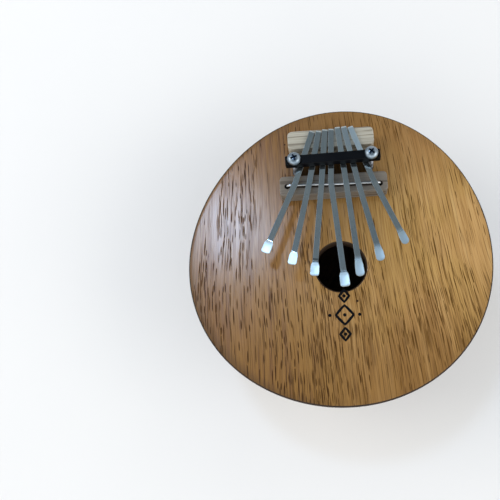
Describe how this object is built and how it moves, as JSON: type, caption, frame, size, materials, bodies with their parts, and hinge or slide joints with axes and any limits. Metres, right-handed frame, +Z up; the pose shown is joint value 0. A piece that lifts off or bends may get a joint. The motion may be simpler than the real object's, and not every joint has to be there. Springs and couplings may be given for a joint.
{
  "type": "mbira",
  "caption": "Thumb piano with steel tines fanned over a wire bridge on a round wooden soundboard with a sound hole, glued to a half coconut shell.",
  "frame": {"origin": "centre of the small flat sanded on the coconut's crown, which the instrument rests on", "axes": "+Z up through the soundboard, +Y from the player's side to the bridge, +X to the player's right"},
  "size_m": [0.1421, 0.1436, 0.0825],
  "materials": {
    "coconut": "polished dark brown coconut shell with fine pale flecks and streaks",
    "lacquered_wood": "golden brown open-grain wood under a satin to glossy clear lacquer",
    "brace_wood": "plain sawn wood",
    "pale_wood": "bare pale wood, sanded, fine straight grain",
    "grey_wood": "bare greyish brown wood, sanded",
    "bright_wire": "bright drawn steel wire",
    "black_steel": "black satin finish on square bar",
    "zinc": "bright zinc plate with a slight blue tint",
    "spring_steel": "blue-grey spring steel, ground bright at the playing tips"
  },
  "bodies": {
    "instrument": {"coconut_shell": "coconut", "soundboard": "lacquered_wood", "bridge_brace": "brace_wood", "rear_saddle": "pale_wood", "front_saddle": "grey_wood", "saddle_wire": "bright_wire", "clamp_bar": "black_steel", "screw_left": "zinc", "screw_right": "zinc", "nut_left": "zinc", "nut_right": "zinc"},
    "tine_1_strip": {"tine_1_shank": "spring_steel"},
    "tine_1_key": {"tine_1_tongue": "spring_steel"},
    "tine_2_strip": {"tine_2_shank": "spring_steel"},
    "tine_2_key": {"tine_2_tongue": "spring_steel"},
    "tine_3_strip": {"tine_3_shank": "spring_steel"},
    "tine_3_key": {"tine_3_tongue": "spring_steel"},
    "tine_4_strip": {"tine_4_shank": "spring_steel"},
    "tine_4_key": {"tine_4_tongue": "spring_steel"},
    "tine_5_strip": {"tine_5_shank": "spring_steel"},
    "tine_5_key": {"tine_5_tongue": "spring_steel"},
    "tine_6_strip": {"tine_6_shank": "spring_steel"},
    "tine_6_key": {"tine_6_tongue": "spring_steel"},
    "tine_7_strip": {"tine_7_shank": "spring_steel"},
    "tine_7_key": {"tine_7_tongue": "spring_steel"}
  },
  "joints": [
    {"name": "tine_1_tuning", "type": "slide", "parent": "instrument", "child": "tine_1_strip", "axis": [0.3567, 0.9342, 0], "range_m": [-0.002, 0.002]},
    {"name": "tine_1_pluck", "type": "hinge", "parent": "tine_1_strip", "child": "tine_1_key", "pos_m": [-0.0192, 0.03144, 0.0745], "axis": [0.9033, -0.4289, 0], "range_deg": [-2, 5], "stiffness_Nm_per_rad": 3.61},
    {"name": "tine_2_tuning", "type": "slide", "parent": "instrument", "child": "tine_2_strip", "axis": [0.2385, 0.9711, 0], "range_m": [-0.002, 0.002]},
    {"name": "tine_2_pluck", "type": "hinge", "parent": "tine_2_strip", "child": "tine_2_key", "pos_m": [-0.0126, 0.03113, 0.0745], "axis": [0.9655, -0.2605, 0], "range_deg": [-2, 5], "stiffness_Nm_per_rad": 3.23},
    {"name": "tine_3_tuning", "type": "slide", "parent": "instrument", "child": "tine_3_strip", "axis": [0.1374, 0.9905, 0], "range_m": [-0.002, 0.002]},
    {"name": "tine_3_pluck", "type": "hinge", "parent": "tine_3_strip", "child": "tine_3_key", "pos_m": [-0.0069, 0.03086, 0.0745], "axis": [0.9893, -0.1461, 0], "range_deg": [-2, 5], "stiffness_Nm_per_rad": 2.88},
    {"name": "tine_4_tuning", "type": "slide", "parent": "instrument", "child": "tine_4_strip", "axis": [0.0819, 0.9966, 0], "range_m": [-0.002, 0.002]},
    {"name": "tine_4_pluck", "type": "hinge", "parent": "tine_4_strip", "child": "tine_4_key", "pos_m": [-0.0025, 0.03066, 0.0745], "axis": [0.999, 0.0454, 0], "range_deg": [-2, 5], "stiffness_Nm_per_rad": 2.57},
    {"name": "tine_5_tuning", "type": "slide", "parent": "instrument", "child": "tine_5_strip", "axis": [-0.0628, 0.998, 0], "range_m": [-0.002, 0.002]},
    {"name": "tine_5_pluck", "type": "hinge", "parent": "tine_5_strip", "child": "tine_5_key", "pos_m": [0.0045, 0.03033, 0.0745], "axis": [0.9987, 0.0506, 0], "range_deg": [-2, 5], "stiffness_Nm_per_rad": 2.83},
    {"name": "tine_6_tuning", "type": "slide", "parent": "instrument", "child": "tine_6_strip", "axis": [-0.1478, 0.989, 0], "range_m": [-0.002, 0.002]},
    {"name": "tine_6_pluck", "type": "hinge", "parent": "tine_6_strip", "child": "tine_6_key", "pos_m": [0.01, 0.03007, 0.0745], "axis": [0.9857, 0.1685, 0], "range_deg": [-2, 5], "stiffness_Nm_per_rad": 3.26},
    {"name": "tine_7_tuning", "type": "slide", "parent": "instrument", "child": "tine_7_strip", "axis": [-0.2874, 0.9578, 0], "range_m": [-0.002, 0.002]},
    {"name": "tine_7_pluck", "type": "hinge", "parent": "tine_7_strip", "child": "tine_7_key", "pos_m": [0.0174, 0.02972, 0.0745], "axis": [0.9421, 0.3355, 0], "range_deg": [-2, 5], "stiffness_Nm_per_rad": 3.82}
  ]
}
